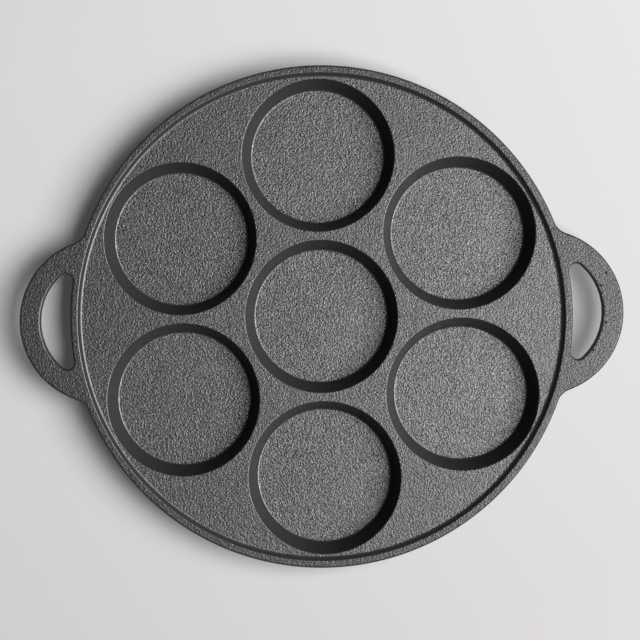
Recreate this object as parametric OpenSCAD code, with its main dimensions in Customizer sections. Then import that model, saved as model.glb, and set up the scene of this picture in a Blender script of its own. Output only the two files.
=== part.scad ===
// Cast iron frying pan with seven round pockets and two loop handles.
// The pan is one casting. The origin is at its centre, on the plane that it stands on.
// The handles lie along X, and +Z is up.

/* [Pockets] */
// Number of pockets in the ring around the middle one
ring_pockets = 6; // [3:1:8]
// Diameter of a pocket at its top edge
pocket_d = 82; // [70:1:95]
// Depth of a pocket below the flat web
pocket_depth = 14; // [10:0.5:20]
// Slope of a pocket's wall, in degrees from upright
pocket_slope = 18; // [10:1:25]
// Flat land between neighbouring pockets
pocket_land = 4.8; // [3.6:0.1:12]
// Radius between a pocket's floor and its wall
pocket_floor_r = 1.4; // [0.6:0.1:3]
// Radius on the top edge of a pocket
pocket_edge_r = 0.6; // [0.3:0.05:0.8]

/* [Web and rim] */
// Thickness of the flat web that joins the pockets
web_t = 3; // [3:0.5:7]
// Flat land between an outer pocket and the foot of the rim
rim_land = 1.7; // [1.5:0.1:8]
// Height of the rim above the web
rim_h = 2.5; // [2:0.1:6]
// Width of the rim across its top
rim_w = 4; // [3.6:0.1:8]
// Slope of the rim's inner wall, in degrees from upright
rim_slope = 32; // [10:1:40]
// Radius in the corner between the web and the rim's inner wall
rim_foot_fillet = 1.8; // [0.6:0.1:2.2]
// Radius on the inner top edge of the rim
rim_inner_r = 0.8; // [0.3:0.1:1]
// Radius on the outer edges of the rim and on all edges of the handles
edge_r = 1.2; // [0.5:0.1:1.6]

/* [Cups under the web] */
// Thickness of a pocket's floor
floor_t = 4; // [3:0.5:8]
// Thickness of a pocket's wall, square to its slope
wall_t = 3; // [2.5:0.1:5]
// Radius around the foot of a cup
foot_r = 2; // [1:0.5:3]
// Least gap between the walls of neighbouring cups
cup_gap = 0.3; // [0.2:0.1:2]

/* [Handles] */
// How far a handle reaches out past the rim
handle_reach = 27.2; // [25:0.1:36]
// Radius of a handle's outer edge, seen from above
handle_r = 44.6; // [42:0.1:52]
// Width of the grip
grip_w = 11.3; // [9:0.1:14]
// Radius in the outer corner between a handle and the rim
handle_root_r = 10; // [6:0.5:16]
// Radius in the corners of the finger hole
hole_corner_r = 4; // [2:0.5:5]

/* [Hidden] */
$fn = 128;
// A cut or a fillet runs this far past the face that it ends on, so the two never lie flush
lap = 0.02;
// How far a handle runs into the rim
handle_sink = 2;
// How deep a corner arc bites into the rim and the grip, so that it crosses them and never just touches
bite = 0.1;
// Least flat strip between the fillet at the rim's foot and the rounded edge of a pocket
flat_strip = 0.04;

// Heights of the faces above the standing plane
floor_z = floor_t;
web_z = floor_z + pocket_depth;
under_z = web_z - web_t;
rim_z = web_z + rim_h;

// A handle is as thick as the plate with its rim, flush at the top and underneath
grip_t = rim_z - under_z;

// Radii seen from above
pocket_r = pocket_d / 2;
pocket_pitch = pocket_d + pocket_land;
ring_r = max(pocket_pitch, pocket_pitch / 2 / sin(180 / ring_pockets));
rim_foot_r = ring_r + pocket_r + rim_land;
rim_top_r = rim_foot_r + rim_h * tan(rim_slope);
disc_r = rim_top_r + rim_w;

// How far a rounding runs along a flat face from its corner with a sloping wall
function lead(radius, slope) = radius * tan((90 - slope) / 2);

// The fillet at the rim's foot is no wider than the land that it runs out on
free_land = rim_land - lead(pocket_edge_r, pocket_slope) - flat_strip;
rim_fillet = min(rim_foot_fillet, free_land / lead(1, rim_slope));

// Radius of a pocket's wall at a height, and of the cup's outer wall there
function wall_r(z) = pocket_r - (web_z - z) * tan(pocket_slope);
function cup_r(z) = wall_r(z) + wall_t / cos(pocket_slope);

// Handle circles, seen from above: the grip's two edges share one centre on the X axis
hole_r = handle_r - grip_w;
grip_c = [disc_r + handle_reach - handle_r, 0];

// Centre of a circle that lies at a distance a from the pan's centre and b from the grip's centre
function meet(a, b) =
    let (x = (a * a - b * b + grip_c[0] * grip_c[0]) / (2 * grip_c[0]))
    [x, sqrt(a * a - x * x)];
root_c = meet(disc_r + handle_root_r - bite, handle_r + handle_root_r - bite);
corner_c = meet(disc_r + hole_corner_r - bite, hole_r - hole_corner_r + bite);

// Point at a distance from one point towards another
function toward(from, to, distance) = from + (to - from) / norm(to - from) * distance;

// Corner rounding. A corner is [x, y, radius], and the corners run anticlockwise
function flat(corner) = [corner[0], corner[1]];
function unit(v) = v / norm(v);
function half_angle(a, b, c) = acos(unit(a - b) * unit(c - b)) / 2;
function is_hollow(a, b, c) = cross(b - a, c - b) < 0;
function tangent(a, b, c, radius) = toward(b, a, radius / tan(half_angle(a, b, c)));
function arc_centre(a, b, c, radius) =
    b + unit(unit(a - b) + unit(c - b)) * radius / sin(half_angle(a, b, c));

// Slice of the circle that rounds one corner, from its centre out to the arc
module arc_slice(a, b, c, radius) {
    centre = arc_centre(a, b, c, radius);
    intersection() {
        polygon([centre, tangent(a, b, c, radius), b, tangent(c, b, a, radius)]);
        translate(centre) circle(radius);
    }
}

// Closed outline with a true arc at each corner that has a radius
module rounded(corners) {
    n = len(corners);
    at = [for (corner = corners) flat(corner)];
    before = [for (i = [0 : n - 1]) at[(i + n - 1) % n]];
    after = [for (i = [0 : n - 1]) at[(i + 1) % n]];
    difference() {
        union() {
            polygon([for (i = [0 : n - 1]) each corners[i][2] == 0
                ? [at[i]]
                : [tangent(before[i], at[i], after[i], corners[i][2]),
                   tangent(after[i], at[i], before[i], corners[i][2])]]);
            for (i = [0 : n - 1])
                if (corners[i][2] > 0 && !is_hollow(before[i], at[i], after[i]))
                    arc_slice(before[i], at[i], after[i], corners[i][2]);
        }
        for (i = [0 : n - 1])
            if (corners[i][2] > 0 && is_hollow(before[i], at[i], after[i]))
                arc_slice(before[i], at[i], after[i], corners[i][2]);
    }
}

// Direction of a pocket of the ring, counted from half a step off the +X handle
function ring_angle(i) = (i + 0.5) * 360 / ring_pockets;

// Places its children around the ring
module at_ring() {
    for (i = [0 : ring_pockets - 1])
        rotate(ring_angle(i)) translate([ring_r, 0]) children();
}

// Places its children in the middle and around the ring
module at_pockets() {
    children();
    at_ring() children();
}

// Round plate with the web and the raised rim
module plate() {
    rotate_extrude() rounded([
        [0, under_z, 0],
        [disc_r, under_z, edge_r],
        [disc_r, rim_z, edge_r],
        [rim_top_r, rim_z, rim_inner_r],
        [rim_foot_r, web_z, rim_fillet],
        [0, web_z, 0]
    ]);
}

// Outside of one cup, solid, up into the web
module cup() {
    rotate_extrude() rounded([
        [0, 0, 0],
        [cup_r(0), 0, foot_r],
        [cup_r(under_z + web_t / 2), under_z + web_t / 2, 0],
        [0, under_z + web_t / 2, 0]
    ]);
}

// What lies nearer to a neighbouring cup, in a direction and at a distance
module beyond(direction, distance) {
    rotate(direction) translate([(distance - cup_gap) / 2, -distance, -lap])
        cube([distance, 2 * distance, web_z]);
}

// Cup in the middle, cut back where it would run into the cups of the ring
module middle_cup() {
    difference() {
        cup();
        for (i = [0 : ring_pockets - 1])
            beyond(ring_angle(i), ring_r);
    }
}

// Cup of the ring, cut back in the same way
module ring_cup() {
    next_angle = 90 + 180 / ring_pockets;
    next_distance = 2 * ring_r * sin(180 / ring_pockets);
    difference() {
        cup();
        beyond(180, ring_r);
        beyond(next_angle, next_distance);
        beyond(-next_angle, next_distance);
    }
}

// Hollow of one pocket, cut from above
module pocket() {
    rotate_extrude() rounded([
        [0, floor_z, 0],
        [wall_r(floor_z), floor_z, pocket_floor_r],
        [wall_r(web_z + lap), web_z + lap, pocket_edge_r],
        [wall_r(web_z + lap) + pocket_edge_r, web_z + lap, 0],
        [wall_r(web_z + lap) + pocket_edge_r, web_z + rim_h, 0],
        [0, web_z + rim_h, 0]
    ]);
}

// Section of the grip
module grip_section() {
    translate([hole_r, under_z]) rounded([
        [0, 0, edge_r],
        [grip_w, 0, edge_r],
        [grip_w, grip_t, edge_r],
        [0, grip_t, edge_r]
    ]);
}

// Cutter with an upright round side, flared at both ends, that leaves a rounded edge
module corner_cutter(radius) {
    rim = radius + edge_r;
    rotate_extrude() translate([0, under_z]) difference() {
        translate([0, -edge_r]) square([rim, grip_t + 2 * edge_r]);
        translate([radius, 0]) rounded([
            [0, 0, edge_r],
            [2 * edge_r, 0, 0],
            [2 * edge_r, grip_t, 0],
            [0, grip_t, edge_r]
        ]);
    }
}

// Fill between the grip, the rim and the two corner arcs on one side of the handle
module corner_fill() {
    root_on_disc = toward([0, 0], root_c, disc_r);
    root_on_grip = toward(grip_c, root_c, handle_r);
    corner_on_grip = toward(grip_c, corner_c, hole_r);
    corner_on_disc = toward([0, 0], corner_c, disc_r);
    difference() {
        translate([0, 0, under_z]) linear_extrude(grip_t) polygon([
            root_on_disc,
            toward(root_on_disc, [0, 0], handle_sink),
            toward(corner_on_disc, [0, 0], handle_sink),
            corner_on_disc,
            corner_on_grip,
            toward(corner_on_grip, grip_c, -grip_w / 2),
            toward(root_on_grip, grip_c, grip_w / 2),
            root_on_grip
        ]);
        translate(root_c) corner_cutter(handle_root_r);
        translate(corner_c) corner_cutter(hole_corner_r);
    }
}

// Loop handle on the +X side
module handle() {
    difference() {
        translate(grip_c) rotate_extrude() grip_section();
        translate([0, 0, under_z - handle_sink])
            cylinder(r = disc_r - handle_sink, h = grip_t + 2 * handle_sink);
    }
    corner_fill();
    mirror([0, 1, 0]) corner_fill();
}

module pan() {
    color("#4b4a4d") difference() {
        union() {
            plate();
            middle_cup();
            at_ring() ring_cup();
            handle();
            mirror([1, 0, 0]) handle();
        }
        at_pockets() pocket();
    }
}

pan();
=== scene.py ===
"""Cast iron frying pan with seven round pockets, standing on a pale floor under one soft lamp.

Lengths are in metres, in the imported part's frame: the pan stands on z = 0 with its centre at the
origin, its two handles lie along X, and +Z is up. The script is laid out as an add-on and run as
a script.
"""

import math
from types import SimpleNamespace

import bmesh
import bpy
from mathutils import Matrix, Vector


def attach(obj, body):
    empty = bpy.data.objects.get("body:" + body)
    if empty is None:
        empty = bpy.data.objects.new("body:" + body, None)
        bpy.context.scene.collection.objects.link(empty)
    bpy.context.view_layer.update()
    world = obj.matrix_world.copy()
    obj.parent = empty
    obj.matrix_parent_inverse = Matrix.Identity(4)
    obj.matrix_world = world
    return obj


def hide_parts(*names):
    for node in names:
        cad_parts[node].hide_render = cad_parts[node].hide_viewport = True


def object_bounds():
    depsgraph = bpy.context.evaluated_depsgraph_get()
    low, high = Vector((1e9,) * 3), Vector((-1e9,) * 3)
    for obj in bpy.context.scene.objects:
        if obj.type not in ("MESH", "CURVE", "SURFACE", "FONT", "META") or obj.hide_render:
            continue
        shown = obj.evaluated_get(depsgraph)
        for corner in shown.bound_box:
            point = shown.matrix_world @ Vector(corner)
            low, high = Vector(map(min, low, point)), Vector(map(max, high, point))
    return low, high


bl_info = {
    "name": "Seven-hole frying pan",
    "version": (1, 0, 0),
    "blender": (4, 5, 0),
    "location": "3D View > Sidebar > Frying pan",
    "description": "Models a seven-hole cast iron frying pan and the stage that it is shown on",
    "category": "Object",
}

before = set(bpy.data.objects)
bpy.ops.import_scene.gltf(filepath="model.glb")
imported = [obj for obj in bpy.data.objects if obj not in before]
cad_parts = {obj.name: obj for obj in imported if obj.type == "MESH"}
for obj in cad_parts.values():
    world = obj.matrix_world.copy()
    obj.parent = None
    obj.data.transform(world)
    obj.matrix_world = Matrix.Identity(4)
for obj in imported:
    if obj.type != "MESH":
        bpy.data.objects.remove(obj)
cad_low, cad_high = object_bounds()

MM = 0.001

# How far a chord may leave the true arc that it stands for
CHORD_ERROR = 0.008 * MM
# Width of the strip of flat face that is modelled beside each rounding
FLAT_STRIP = 0.12 * MM
# Two points closer than this are one point
MERGE_DISTANCE = 0.005 * MM
# Faces that meet at a wider angle than this keep a sharp edge
SHARP_ANGLE = math.radians(40)

# How level a face is, from 0 upright to 1 flat, where the grain starts and where it is full
GRAIN_LEVEL = (0.9, 0.995)
# The same for the baked oil, which is thin on the steep walls
OIL_LEVEL = (0.64, 0.82)
# Most values of a noise texture lie between these two
NOISE_RANGE = (0.3, 0.7)
# Size of the patches in which the oil lies thicker or thinner
PATCH_SIZE = 10 * MM
# How far in from the disc's edge the rubbed top of the rim starts, and where it is fully rubbed
RUBBED_RIM = (4.2 * MM, 3.2 * MM)
# Casting pits in the +X handle: place seen from above and radius, in mm. They are not modelled as
# hollows; the shade inside them is painted near black
HANDLE_PITS = ((153.1, 20.4, 0.9), (150.2, 13.5, 0.9), (152.5, -6.1, 0.9), (145.5, -21.0, 0.8))
# Shares of a pit's radius: it is open inside the first, and the skin is whole past the second
PIT_EDGE = (0.4, 1.3)
# Painted shade: colour of the shade inside a pit
PIT_SHADE_COLOUR = (0.004, 0.004, 0.004, 1)
PIT_SHEEN = 0.05

FLOOR_SIZE = 20
# Painted light: direction in which the floor is painted paler, and how far on each side of the
# pan's middle
PAINTED_LIGHT_WAY = (-0.4, 1, 0)
PAINTED_LIGHT_REACH = 0.2
# Paleness of the floor at the pan's middle, as a share of its colour; part of the painted light
FLOOR_GAIN = 1.03
# Distances from the pan's middle between which the floor runs into the pale room
FLOOR_FADE = (0.26, 0.65)


def length(name, description, default):
    """A length that the user can change; the default is in metres."""
    return bpy.props.FloatProperty(
        name=name, description=description, default=default, min=0, unit="LENGTH", precision=5
    )


def coordinate(name, description, default):
    """A coordinate that the user can change; the default is in metres."""
    return bpy.props.FloatProperty(
        name=name, description=description, default=default, unit="LENGTH", precision=5
    )


def angle(name, description, default):
    """An angle that the user can change; the default is in degrees."""
    return bpy.props.FloatProperty(
        name=name, description=description, default=math.radians(default), unit="ROTATION"
    )


def colour(name, description, default):
    """A colour that the user can change; the default is an sRGB hex value."""
    return bpy.props.FloatVectorProperty(
        name=name, description=description, default=linear(default),
        size=4, min=0, max=1, subtype="COLOR",
    )


def amount(name, description, default):
    """A plain number from 0 up that the user can change."""
    return bpy.props.FloatProperty(name=name, description=description, default=default, min=0)


def shift(name, description, default):
    """A plain number, also below 0, that the user can change."""
    return bpy.props.FloatProperty(name=name, description=description, default=default)


def linear(hex_colour):
    """Turns an sRGB hex value into linear red, green, blue and an alpha of 1."""
    channels = [int(hex_colour[i : i + 2], 16) / 255 for i in (1, 3, 5)]
    curve = [c / 12.92 if c <= 0.04045 else ((c + 0.055) / 1.055) ** 2.4 for c in channels]
    return (*curve, 1.0)


class PanShape(bpy.types.PropertyGroup):
    """Sizes of the casting. Its height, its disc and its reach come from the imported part."""

    ring_pockets: bpy.props.IntProperty(
        name="Ring pockets", description="Number of pockets around the middle one", default=6, min=3
    )
    pocket_d: length("Pocket", "Diameter of a pocket at its top edge", 82 * MM)
    pocket_depth: length("Pocket depth", "Depth of a pocket below the web", 14 * MM)
    pocket_slope: angle("Pocket slope", "Slope of a pocket's wall from upright", 18)
    pocket_land: length("Pocket land", "Flat land between neighbouring pockets", 4.8 * MM)
    pocket_floor_r: length("Pocket floor radius", "Radius between a floor and its wall", 1.4 * MM)
    pocket_edge_r: length("Pocket edge radius", "Radius on a pocket's top edge", 0.6 * MM)
    rim_land: length("Rim land", "Flat land between an outer pocket and the rim's foot", 1.7 * MM)
    rim_h: length("Rim height", "Height of the rim above the web", 2.5 * MM)
    rim_slope: angle("Rim slope", "Slope of the rim's inner wall from upright", 32)
    rim_foot_fillet: length("Rim foot radius", "Radius in the corner between web and rim", 1.8 * MM)
    rim_inner_r: length("Rim edge radius", "Radius on the rim's inner top edge", 0.8 * MM)
    edge_r: length("Edge radius", "Radius on the outer edges and around the handles", 1.2 * MM)
    plate_t: length("Plate thickness", "From the top of the rim to the web's underside", 5.5 * MM)
    floor_t: length("Floor thickness", "Thickness of a pocket's floor", 4 * MM)
    wall_t: length("Wall thickness", "Thickness of a pocket's wall, square to it", 3 * MM)
    foot_r: length("Foot radius", "Radius around the foot of a cup", 2 * MM)
    handle_r: length("Handle radius", "Radius of a handle's outer edge from above", 44.6 * MM)
    grip_w: length("Grip width", "Width of the grip", 11.3 * MM)
    handle_root_r: length("Root radius", "Radius between a handle and the rim", 10 * MM)
    hole_corner_r: length("Hole corners", "Radius in the corners of a finger hole", 4 * MM)


class IronLook(bpy.types.PropertyGroup):
    """Finish of the seasoned cast iron."""

    iron: colour("Iron", "Colour of the seasoned iron", "#383435")
    grain: length("Grain", "Width of one grain of the sand cast skin", 0.88 * MM)
    grain_height: length("Grain height", "Height of the grain on the flat faces", 0.5 * MM)
    pores: amount("Pores", "How much duller than the grains the pocket floors' pores are", 0.4)
    roughness: amount("Roughness", "Roughness of the iron between its grains", 0.33)
    ior: amount("IOR", "Index of refraction, which sets how strong the sheen can be", 1.95)
    sheen: amount("Sheen", "Specular level of the pocket floors", 0.53)
    web_sheen: amount("Web sheen", "Specular level of the web", 0.49)
    grip_sheen: amount("Grip sheen", "Specular level of the rubbed rim and handles", 0.36)
    patchiness: amount("Patches", "How far the sheen differs from patch to patch", 0.06)
    wall: colour("Wall", "Colour of the steep walls, where the baked oil is thin", "#413e41")
    wall_sheen: amount("Wall sheen", "Specular level of the steep walls", 0.02)


class StageSet(bpy.types.PropertyGroup):
    """Floor, lamp and camera."""

    floor: colour("Floor", "Colour of the floor", "#e4e2e2")
    # Painted light: how much paler the floor is painted towards the back
    floor_light_slope: amount("Floor slope", "How much paler the floor is 0.2 m towards the back", 0.065)
    # Painted light: share of the floor's own colour that glows for the camera near the pan,
    # lightening its shadows
    painted_shadow_lift: amount("Shadow lift", "Share of the floor's own paleness in a shadow", 0.055)
    lamp_distance: length("Lamp distance", "From the pan to the lamp", 1.6)
    lamp_size: length("Lamp size", "Side of the square lamp", 1.25)
    lamp_tilt: angle("Lamp tilt", "Angle of the lamp from straight overhead", 36)
    lamp_turn: angle("Lamp turn", "Direction of the lamp seen from above, from +X", -8.7)
    lamp_light: amount("Lamp light", "Light on the floor; 1 shows a colour as it is written", 1.1)
    fill: amount("Fill", "Light from all around, as a share of white", 0.03)
    lens: amount("Lens", "Focal length on a sensor 36 mm wide, in mm", 98.8)
    camera_x: coordinate("Camera X", "Place of the camera", -20.5 * MM)
    camera_y: coordinate("Camera Y", "Place of the camera", 21.9 * MM)
    camera_height: length("Camera height", "Height of the camera above the floor", 963 * MM)
    camera_roll: angle("Camera roll", "Turn of the camera about its view", -1.19)
    shift_x: shift("Shift X", "Sideways shift of the view, as a share of its width", 0.0586)
    shift_y: shift("Shift Y", "Upward shift of the view, as a share of its width", -0.0679)


def measures(shape):
    """Heights, radii and centres that follow from the pan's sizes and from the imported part."""
    m = SimpleNamespace()
    m.rim_z = cad_high.z
    m.web_z = m.rim_z - shape.rim_h
    m.under_z = m.rim_z - shape.plate_t
    m.floor_z = m.web_z - shape.pocket_depth
    m.pocket_r = shape.pocket_d / 2
    pitch = shape.pocket_d + shape.pocket_land
    m.ring_r = max(pitch, pitch / 2 / math.sin(math.pi / shape.ring_pockets))
    m.rim_foot_r = m.ring_r + m.pocket_r + shape.rim_land
    m.rim_top_r = m.rim_foot_r + shape.rim_h * math.tan(shape.rim_slope)
    m.disc_r = cad_high.y
    m.tip_r = cad_high.x
    m.grip = Vector((m.tip_r - shape.handle_r, 0, 0))
    m.hole_r = shape.handle_r - shape.grip_w
    m.root = meeting_point(
        m.disc_r + shape.handle_root_r, m.grip, shape.handle_r + shape.handle_root_r
    )
    m.corner = meeting_point(
        m.disc_r + shape.hole_corner_r, m.grip, m.hole_r - shape.hole_corner_r
    )
    return m


def meeting_point(from_middle, grip, from_grip):
    """Point at one distance from the pan's middle and another from the grip's centre."""
    x = (from_middle**2 - from_grip**2 + grip.x**2) / (2 * grip.x)
    return Vector((x, math.sqrt(from_middle**2 - x**2), 0))


def wall_radius(shape, m, z):
    """Radius of a pocket's wall at a height."""
    return m.pocket_r - (m.web_z - z) * math.tan(shape.pocket_slope)


def cup_radius(shape, m, z):
    """Radius of the outside of a cup at a height."""
    return wall_radius(shape, m, z) + shape.wall_t / math.cos(shape.pocket_slope)


def lead(radius, slope):
    """How far a rounding runs along a flat face from its corner with a sloping wall."""
    return radius * math.tan((math.pi / 2 - slope) / 2)


def heading(from_point, to_point):
    """Direction from one point to another seen from above, anticlockwise from +X."""
    return math.atan2(to_point.y - from_point.y, to_point.x - from_point.x)


def mirrored(point, in_x=False, in_y=False):
    """The point's mirror image."""
    return Vector((-point.x if in_x else point.x, -point.y if in_y else point.y, 0))


def arc_steps(radius, turn):
    """How many chords an arc needs."""
    one_step = 2 * math.acos(1 - CHORD_ERROR / radius)
    return max(2, math.ceil(abs(turn) / one_step))


def deselect_all():
    """Leaves nothing selected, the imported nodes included."""
    bpy.ops.object.select_all(action="DESELECT")


def select_only(piece):
    """Leaves one piece selected and active."""
    deselect_all()
    piece.select_set(True)
    bpy.context.view_layer.objects.active = piece


def draw_section(name, corners):
    """Starts an object with an open section in the XZ plane, drawn with one moving point.

    A corner is (x, z, radius). Each corner between the two ends is drawn as a true arc.
    """
    deselect_all()
    bpy.ops.mesh.primitive_plane_add(size=MM)
    piece = bpy.context.object
    piece.name = name
    bpy.ops.object.mode_set(mode="EDIT")
    bpy.ops.mesh.merge(type="CENTER")
    points = [Vector((x, z)) for x, z, _ in corners]
    pen = points[0]
    bpy.ops.transform.translate(value=(pen.x, 0, pen.y))
    for i in range(1, len(points) - 1):
        radius = corners[i][2]
        back = (points[i - 1] - points[i]).normalized()
        ahead = (points[i + 1] - points[i]).normalized()
        half = back.angle(ahead) / 2
        tangent = radius / math.tan(half)
        move_pen(points[i] + back * tangent - pen)
        turn = math.pi - 2 * half
        if back.cross(ahead) > 0:
            turn = -turn
        centre = points[i] + (back + ahead).normalized() * radius / math.sin(half)
        spin_selected(Vector((centre.x, 0, centre.y)), turn, radius, axis=(0, 1, 0))
        pen = points[i] + ahead * tangent
    move_pen(points[-1] - pen)
    return piece


def move_pen(step):
    """Draws a straight line from the selected point."""
    bpy.ops.mesh.extrude_vertices_move(TRANSFORM_OT_translate={"value": (step.x, 0, step.y)})


def spin_selected(centre, turn, radius, axis):
    """Spins what is selected in steps that keep the arc of that radius true."""
    bpy.ops.mesh.spin(steps=arc_steps(radius, turn), angle=turn, center=centre, axis=axis)


def sweep_section(path):
    """Takes the drawn section along arcs, each (centre, turn, radius), and closes the loop.

    A turn is anticlockwise seen from above, which the spin tool counts the other way.
    """
    bpy.ops.mesh.select_all(action="SELECT")
    for centre, turn, radius in path:
        spin_selected(centre, -turn, radius, axis=(0, 0, 1))
    bpy.ops.mesh.select_all(action="SELECT")
    bpy.ops.mesh.remove_doubles(threshold=MERGE_DISTANCE)


def turn_section(radius):
    """Turns the drawn section once round the Z axis."""
    sweep_section([(Vector(), 2 * math.pi, radius)])


def fill_flat(z):
    """Fills the flat face at a height between the open edges that lie in it."""
    bpy.ops.mesh.select_mode(type="EDGE")
    bpy.ops.mesh.select_all(action="DESELECT")
    mesh = bpy.context.object.data
    edges = bmesh.from_edit_mesh(mesh).edges
    open_edges = [
        e for e in edges
        if e.is_boundary and all(abs(v.co.z - z) < MERGE_DISTANCE for v in e.verts)
    ]
    if not open_edges:
        raise RuntimeError(f"no open edge lies at height {z}")
    for e in open_edges:
        e.select_set(True)
    bmesh.update_edit_mesh(mesh)
    bpy.ops.mesh.fill(use_beauty=True)
    bpy.ops.mesh.select_mode(type="VERT")


def outer_edge(shape, m):
    """Upright edge of the disc and the handles, rounded at its top and bottom."""
    edge = draw_section("outer_edge", [
        (m.tip_r - shape.edge_r - FLAT_STRIP, m.under_z, 0),
        (m.tip_r, m.under_z, shape.edge_r),
        (m.tip_r, m.rim_z, shape.edge_r),
        (m.tip_r - shape.edge_r - FLAT_STRIP, m.rim_z, 0),
    ])
    middle = Vector()
    grip_turn = heading(m.grip, m.root)
    disc_start = heading(middle, m.root)
    root_turn = disc_start - grip_turn
    left_grip = mirrored(m.grip, in_x=True)
    sweep_section([
        (m.grip, grip_turn, shape.handle_r),
        (m.root, root_turn, shape.handle_root_r),
        (middle, math.pi - 2 * disc_start, m.disc_r),
        (mirrored(m.root, in_x=True), root_turn, shape.handle_root_r),
        (left_grip, 2 * grip_turn, shape.handle_r),
        (mirrored(m.root, in_x=True, in_y=True), root_turn, shape.handle_root_r),
        (middle, math.pi - 2 * disc_start, m.disc_r),
        (mirrored(m.root, in_y=True), root_turn, shape.handle_root_r),
        (m.grip, grip_turn, shape.handle_r),
    ])
    bpy.ops.object.mode_set(mode="OBJECT")
    return edge


def finger_holes(shape, m):
    """Edges of the two finger holes, rounded like the outer edge."""
    inner_x = m.grip.x + m.hole_r
    right = draw_section("finger_hole", [
        (inner_x + shape.edge_r + FLAT_STRIP, m.under_z, 0),
        (inner_x, m.under_z, shape.edge_r),
        (inner_x, m.rim_z, shape.edge_r),
        (inner_x + shape.edge_r + FLAT_STRIP, m.rim_z, 0),
    ])
    middle = Vector()
    grip_turn = heading(m.grip, m.corner)
    disc_end = heading(middle, m.corner)
    corner_turn = math.pi + disc_end - grip_turn
    sweep_section([
        (m.grip, grip_turn, m.hole_r),
        (m.corner, corner_turn, shape.hole_corner_r),
        (middle, -2 * disc_end, m.disc_r),
        (mirrored(m.corner, in_y=True), corner_turn, shape.hole_corner_r),
        (m.grip, grip_turn, m.hole_r),
    ])
    bpy.ops.object.mode_set(mode="OBJECT")
    left = copy_of(right)
    bpy.ops.transform.rotate(value=math.pi, orient_axis="Z", center_override=(0, 0, 0))
    bpy.ops.object.transform_apply(location=True, rotation=True, scale=True)
    return [right, left]


def rim_wall(shape, m):
    """Sloped inner wall of the rim, with its radii at the foot and the top."""
    foot_lead = lead(shape.rim_foot_fillet, shape.rim_slope)
    top_lead = lead(shape.rim_inner_r, shape.rim_slope)
    wall = draw_section("rim_wall", [
        (m.rim_foot_r - foot_lead - FLAT_STRIP, m.web_z, 0),
        (m.rim_foot_r, m.web_z, shape.rim_foot_fillet),
        (m.rim_top_r, m.rim_z, shape.rim_inner_r),
        (m.rim_top_r + top_lead + FLAT_STRIP, m.rim_z, 0),
    ])
    turn_section(m.rim_top_r)
    bpy.ops.object.mode_set(mode="OBJECT")
    return wall


def one_pocket(shape, m):
    """Skin of one pocket with its flat floor, at the pan's middle."""
    floor_edge = wall_radius(shape, m, m.floor_z)
    floor_lead = lead(shape.pocket_floor_r, shape.pocket_slope)
    edge_lead = lead(shape.pocket_edge_r, shape.pocket_slope)
    pocket = draw_section("pocket", [
        (floor_edge - floor_lead - FLAT_STRIP, m.floor_z, 0),
        (floor_edge, m.floor_z, shape.pocket_floor_r),
        (m.pocket_r, m.web_z, shape.pocket_edge_r),
        (m.pocket_r + edge_lead + FLAT_STRIP, m.web_z, 0),
    ])
    turn_section(m.pocket_r)
    fill_flat(m.floor_z)
    bpy.ops.object.mode_set(mode="OBJECT")
    return pocket


def one_cup(shape, m):
    """Outside of one pocket under the web, with the foot that the pan stands on."""
    foot = cup_radius(shape, m, 0)
    cup = draw_section("cup", [
        (foot - lead(shape.foot_r, shape.pocket_slope) - FLAT_STRIP, 0, 0),
        (foot, 0, shape.foot_r),
        (cup_radius(shape, m, m.under_z), m.under_z, 0),
    ])
    turn_section(foot)
    fill_flat(0)
    bpy.ops.object.mode_set(mode="OBJECT")
    return cup


def copy_of(piece, step=(0, 0, 0)):
    """A copy with its own mesh, moved by a step, left selected alone."""
    select_only(piece)
    bpy.ops.object.duplicate(linked=False)
    copy = bpy.context.object
    bpy.ops.transform.translate(value=step)
    bpy.ops.object.transform_apply(location=True, rotation=True, scale=True)
    return copy


def around_the_ring(shape, m, piece):
    """The piece in the middle and its copies around it, the first half a step off the +X axis."""
    pieces = [piece]
    for i in range(shape.ring_pockets):
        turn = (i + 0.5) * 2 * math.pi / shape.ring_pockets
        step = (m.ring_r * math.cos(turn), m.ring_r * math.sin(turn), 0)
        pieces.append(copy_of(piece, step))
    return pieces


def joined(name, pieces):
    """The pieces as one mesh."""
    select_only(pieces[0])
    for piece in pieces[1:]:
        piece.select_set(True)
    bpy.ops.object.join()
    whole = bpy.context.object
    whole.name = whole.data.name = name
    return whole


def close_casting(m):
    """Merges the skins of the joined piece and fills its flat faces. Stops if a gap is left."""
    bpy.ops.object.mode_set(mode="EDIT")
    bpy.ops.mesh.select_all(action="SELECT")
    bpy.ops.mesh.remove_doubles(threshold=MERGE_DISTANCE)
    for z in (m.under_z, m.web_z, m.rim_z):
        fill_flat(z)
    bpy.ops.mesh.select_all(action="SELECT")
    bpy.ops.mesh.normals_make_consistent(inside=False)
    edges = bmesh.from_edit_mesh(bpy.context.object.data).edges
    gaps = sum(1 for e in edges if not e.is_manifold)
    bpy.ops.object.mode_set(mode="OBJECT")
    if gaps:
        raise RuntimeError(f"the casting has {gaps} edges that don't join two faces")


def smooth(piece):
    """Smooth roundings that run into dead flat faces, as on a casting."""
    select_only(piece)
    bpy.ops.object.shade_smooth_by_angle(angle=SHARP_ANGLE)
    weighted = piece.modifiers.new("flat_faces", "WEIGHTED_NORMAL")
    weighted.keep_sharp = True
    bpy.ops.object.modifier_apply(modifier=weighted.name)


def new_material(name):
    """An empty node material and its node tree."""
    material = bpy.data.materials.new(name)
    material.use_nodes = True
    material.node_tree.nodes.clear()
    return material, material.node_tree


def add_node(tree, kind, inputs=None, **settings):
    """Adds a node with its settings. An input is a value, or another node's output to link."""
    node = tree.nodes.new(kind)
    for name, value in settings.items():
        setattr(node, name, value)
    for name, value in (inputs or {}).items():
        if isinstance(value, bpy.types.NodeSocket):
            tree.links.new(value, node.inputs[name])
        else:
            node.inputs[name].default_value = value
    return node


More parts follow.
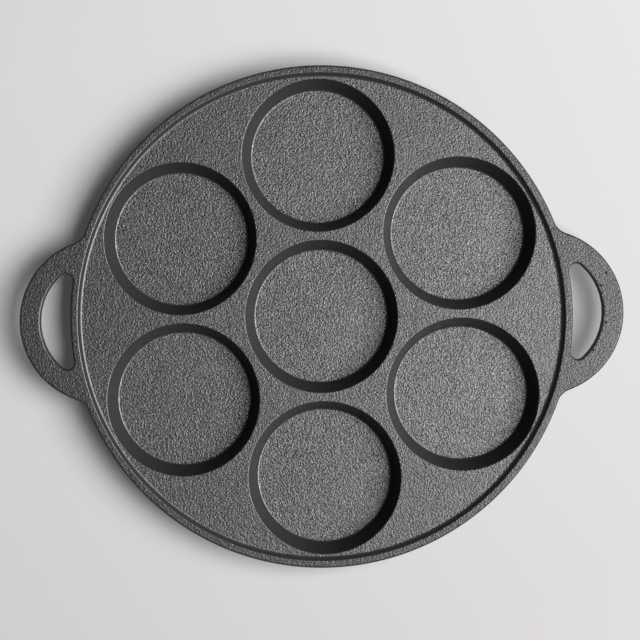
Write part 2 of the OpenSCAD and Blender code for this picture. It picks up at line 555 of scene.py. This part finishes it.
def ramp(tree, value, given=(0, 1), wanted=(0, 1), kind="LINEAR"):
    """Runs between the two wanted numbers while the value runs between the two given ones."""
    node = add_node(tree, "ShaderNodeMapRange", {
        "Value": value,
        "From Min": given[0],
        "From Max": given[1],
        "To Min": wanted[0],
        "To Max": wanted[1],
    }, interpolation_type=kind)
    return node.outputs["Result"]


def maths(tree, operation, *numbers):
    """A number worked out from others."""
    node = add_node(tree, "ShaderNodeMath", dict(enumerate(numbers)), operation=operation)
    return node.outputs[0]


def distance_out(tree, place):
    """How far a place is from the origin."""
    return add_node(tree, "ShaderNodeVectorMath", {0: place}, operation="LENGTH").outputs["Value"]


def scaled(tree, tint, share):
    """A colour made paler or darker by a share."""
    node = add_node(tree, "ShaderNodeVectorMath", {
        0: tint[:3], "Scale": share,
    }, operation="SCALE")
    return node.outputs["Vector"]


def mixed(tree, factor, first, second):
    """The first colour where the factor is 0, and the second where it is 1."""
    node = add_node(tree, "ShaderNodeMix", {
        "Factor": factor, 6: first, 7: second,
    }, data_type="RGBA")
    return node.outputs[2]


def handle_pits(tree, ground):
    """1 inside the casting pits of the +X handle, 0 around them. It marks where the pits' shade is
    painted.
    """
    pit_shade = 0
    for x, y, radius in HANDLE_PITS:
        gap = add_node(tree, "ShaderNodeVectorMath", {
            0: ground, 1: (x * MM, y * MM, 0),
        }, operation="DISTANCE")
        edge = [share * radius * MM for share in PIT_EDGE]
        inside = ramp(tree, gap.outputs["Value"], edge, (1, 0), kind="SMOOTHSTEP")
        pit_shade = maths(tree, "MAXIMUM", pit_shade, inside)
    return pit_shade


def seasoned_cast_iron(look, m):
    """Sand cast iron with baked oil. It is near black with a soft, wide sheen; the flat faces keep
    the sand's grain, and the walls, which draw from the mould, are smooth and dull."""
    material, tree = new_material("seasoned_cast_iron")
    place = add_node(tree, "ShaderNodeTexCoord")
    facing = add_node(tree, "ShaderNodeSeparateXYZ", {0: place.outputs["Normal"]})
    level = maths(tree, "ABSOLUTE", facing.outputs["Z"])
    # 1 on the flat faces, 0 on the walls and the roundings
    flat = ramp(tree, level, GRAIN_LEVEL, kind="SMOOTHSTEP")
    # 0 on the steep walls, 1 on all else
    oiled = ramp(tree, level, OIL_LEVEL, kind="SMOOTHSTEP")
    # 0 on the pocket floors, 1 on the web, the rim and the handles
    height = add_node(tree, "ShaderNodeSeparateXYZ", {0: place.outputs["Object"]})
    raised = ramp(tree, height.outputs["Z"], (m.floor_z + MM, m.web_z - MM))
    ground = add_node(tree, "ShaderNodeVectorMath", {
        0: place.outputs["Object"], 1: (1, 1, 0),
    }, operation="MULTIPLY").outputs["Vector"]
    # The real casting pits, with painted shade in place of their hollows
    pit_shade = handle_pits(tree, ground)

    # The sand's grain. On the pocket floors it shows pores, which are duller than the grains
    grain = add_node(tree, "ShaderNodeTexNoise", {
        "Vector": place.outputs["Object"],
        "Scale": 1 / look.grain,
        "Detail": 2.0,
        "Roughness": 0.5,
        "Distortion": 0.2,
    })
    contrast = ramp(tree, raised, wanted=(look.pores, 0))
    dull_to_clear = ramp(tree, grain.outputs["Fac"], NOISE_RANGE, (-1, 1))
    pores = maths(tree, "MULTIPLY_ADD", dull_to_clear, contrast, 1)
    iron = mixed(tree, oiled, look.wall, scaled(tree, look.iron, pores))

    # The web is a little duller than the floors, and the rim's top and the handles duller still
    inner_sheen = ramp(tree, raised, wanted=(look.sheen, look.web_sheen))
    rubbed_from, rubbed_to = (m.disc_r - inset for inset in RUBBED_RIM)
    rubbed_sheen = ramp(
        tree, distance_out(tree, ground), (rubbed_from, rubbed_to), (inner_sheen, look.grip_sheen)
    )
    patches = add_node(tree, "ShaderNodeTexNoise", {
        "Vector": place.outputs["Object"], "Scale": 1 / PATCH_SIZE, "Detail": 1.0,
    })
    uneven = ramp(
        tree, patches.outputs["Fac"], NOISE_RANGE, (1 - look.patchiness, 1 + look.patchiness)
    )
    patchy_sheen = maths(tree, "MULTIPLY", rubbed_sheen, uneven)
    top_sheen = maths(tree, "MULTIPLY", patchy_sheen, pores)
    clean_sheen = ramp(tree, oiled, wanted=(look.wall_sheen, top_sheen))

    bump = add_node(tree, "ShaderNodeBump", {
        "Strength": flat, "Distance": look.grain_height, "Height": grain.outputs["Fac"],
    })
    shader = add_node(tree, "ShaderNodeBsdfPrincipled", {
        "Base Color": mixed(tree, pit_shade, iron, PIT_SHADE_COLOUR),
        "Roughness": look.roughness,
        "IOR": look.ior,
        "Specular IOR Level": ramp(tree, pit_shade, wanted=(clean_sheen, PIT_SHEEN)),
        "Normal": bump.outputs["Normal"],
    })
    add_node(tree, "ShaderNodeOutputMaterial", {"Surface": shader.outputs["BSDF"]})
    return material


def floor_paint(stage):
    """Matt painted studio floor with no sheen of its own. Painted light makes it a little paler
    towards the back;
    near the pan it glows faintly for the camera, which is painted light in its shadows; and far out
    the camera sees it run into the pale room, so no lamp pool shows from the side."""
    material, tree = new_material("matt_floor_paint")
    place = add_node(tree, "ShaderNodeTexCoord").outputs["Object"]
    # Painted light: the floor's colour is scaled paler towards the back and a little to the left
    along_painted_light = add_node(tree, "ShaderNodeVectorMath", {
        0: place, 1: PAINTED_LIGHT_WAY,
    }, operation="DOT_PRODUCT")
    paler = ramp(
        tree, along_painted_light.outputs["Value"], (-PAINTED_LIGHT_REACH, PAINTED_LIGHT_REACH),
        (FLOOR_GAIN - stage.floor_light_slope, FLOOR_GAIN + stage.floor_light_slope),
    )
    lit = add_node(tree, "ShaderNodeBsdfDiffuse", {
        "Color": scaled(tree, stage.floor, paler), "Roughness": 0.5,
    })
    room = add_node(tree, "ShaderNodeEmission", {"Color": stage.floor, "Strength": 1.0})
    # The camera sees the floor glow: a small share near the pan, which is painted light in its
    # shadows, and all of it far out, where it is the pale room
    far = ramp(
        tree, distance_out(tree, place), FLOOR_FADE, (stage.painted_shadow_lift, 1), kind="SMOOTHSTEP"
    )
    path = add_node(tree, "ShaderNodeLightPath")
    shader = add_node(tree, "ShaderNodeMixShader", {
        0: maths(tree, "MULTIPLY", far, path.outputs["Is Camera Ray"]),
        1: lit.outputs["BSDF"],
        2: room.outputs["Emission"],
    })
    add_node(tree, "ShaderNodeOutputMaterial", {"Surface": shader.outputs["Shader"]})
    return material


def lay_floor(stage):
    """Wide pale floor that the pan stands on."""
    deselect_all()
    bpy.ops.mesh.primitive_plane_add(size=FLOOR_SIZE)
    floor = bpy.context.object
    floor.name = "floor"
    floor.data.materials.append(floor_paint(stage))


def hang_lamp(scene, stage):
    """One large soft lamp. Its power is worked out so that the floor shows the colour it has."""
    towards = Vector((
        math.sin(stage.lamp_tilt) * math.cos(stage.lamp_turn),
        math.sin(stage.lamp_tilt) * math.sin(stage.lamp_turn),
        math.cos(stage.lamp_tilt),
    ))
    data = bpy.data.lights.new("soft_lamp", "AREA")
    data.shape = "SQUARE"
    data.size = stage.lamp_size
    data.energy = stage.lamp_light * (math.pi * stage.lamp_distance) ** 2 / towards.z
    lamp = bpy.data.objects.new("soft_lamp", data)
    lamp.location = towards * stage.lamp_distance
    lamp.rotation_euler = towards.to_track_quat("Z", "Y").to_euler()
    lamp.visible_camera = False
    scene.collection.objects.link(lamp)


def light_the_room(scene, stage):
    """A weak fill from all around. The camera sees the room as pale as the floor."""
    world = bpy.data.worlds.new("room")
    world.use_nodes = True
    tree = world.node_tree
    tree.nodes.clear()
    path = add_node(tree, "ShaderNodeLightPath")
    seen = add_node(tree, "ShaderNodeBackground", {"Color": stage.floor, "Strength": 1.0})
    fill = add_node(tree, "ShaderNodeBackground", {"Color": (1, 1, 1, 1), "Strength": stage.fill})
    either = add_node(tree, "ShaderNodeMixShader", {
        0: path.outputs["Is Camera Ray"], 1: fill.outputs[0], 2: seen.outputs[0],
    })
    add_node(tree, "ShaderNodeOutputWorld", {"Surface": either.outputs[0]})
    scene.world = world


def set_camera(scene, stage):
    """Camera straight above, a little to one side, rolled as the picture is."""
    data = bpy.data.cameras.new("camera")
    data.lens = stage.lens
    data.shift_x = stage.shift_x
    data.shift_y = stage.shift_y
    camera = bpy.data.objects.new("camera", data)
    camera.location = (stage.camera_x, stage.camera_y, stage.camera_height)
    camera.rotation_euler = (0, 0, stage.camera_roll)
    scene.collection.objects.link(camera)
    scene.camera = camera


class PAN_OT_casting(bpy.types.Operator):
    """Model the pan's one casting"""

    bl_idname = "pan.casting"
    bl_label = "Pan casting"

    def execute(self, context):
        shape = context.scene.pan_shape
        m = measures(shape)
        skins = [outer_edge(shape, m), *finger_holes(shape, m), rim_wall(shape, m)]
        skins += around_the_ring(shape, m, one_pocket(shape, m))
        skins += around_the_ring(shape, m, one_cup(shape, m))
        casting = joined("pan_casting", skins)
        close_casting(m)
        smooth(casting)
        casting.data.materials.clear()
        casting.data.materials.append(seasoned_cast_iron(context.scene.iron_look, m))
        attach(casting, "root")
        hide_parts("pan")
        return {"FINISHED"}


class PAN_OT_stage(bpy.types.Operator):
    """Set up the floor, the lamp and the camera"""

    bl_idname = "pan.stage"
    bl_label = "Stage"

    def execute(self, context):
        stage = context.scene.stage_set
        lay_floor(stage)
        hang_lamp(context.scene, stage)
        light_the_room(context.scene, stage)
        set_camera(context.scene, stage)
        context.scene.view_settings.view_transform = "Standard"
        return {"FINISHED"}


class PAN_PT_panel(bpy.types.Panel):
    """Sizes, finish and stage of the frying pan"""

    bl_idname = "PAN_PT_panel"
    bl_label = "Frying pan"
    bl_space_type = "VIEW_3D"
    bl_region_type = "UI"
    bl_category = "Frying pan"

    def draw(self, context):
        for name, group in GROUPS.items():
            box = self.layout.box()
            for setting in group.__annotations__:
                box.prop(getattr(context.scene, name), setting)
        for operator in OPERATORS:
            self.layout.operator(operator.bl_idname)


GROUPS = {"pan_shape": PanShape, "iron_look": IronLook, "stage_set": StageSet}
OPERATORS = (PAN_OT_casting, PAN_OT_stage)
CLASSES = (*GROUPS.values(), *OPERATORS, PAN_PT_panel)


def register():
    for cls in CLASSES:
        bpy.utils.register_class(cls)
    for name, group in GROUPS.items():
        setattr(bpy.types.Scene, name, bpy.props.PointerProperty(type=group))


def unregister():
    for name in GROUPS:
        delattr(bpy.types.Scene, name)
    for cls in reversed(CLASSES):
        bpy.utils.unregister_class(cls)


def main():
    register()
    bpy.ops.pan.casting()
    bpy.ops.pan.stage()


if __name__ == "__main__":
    main()
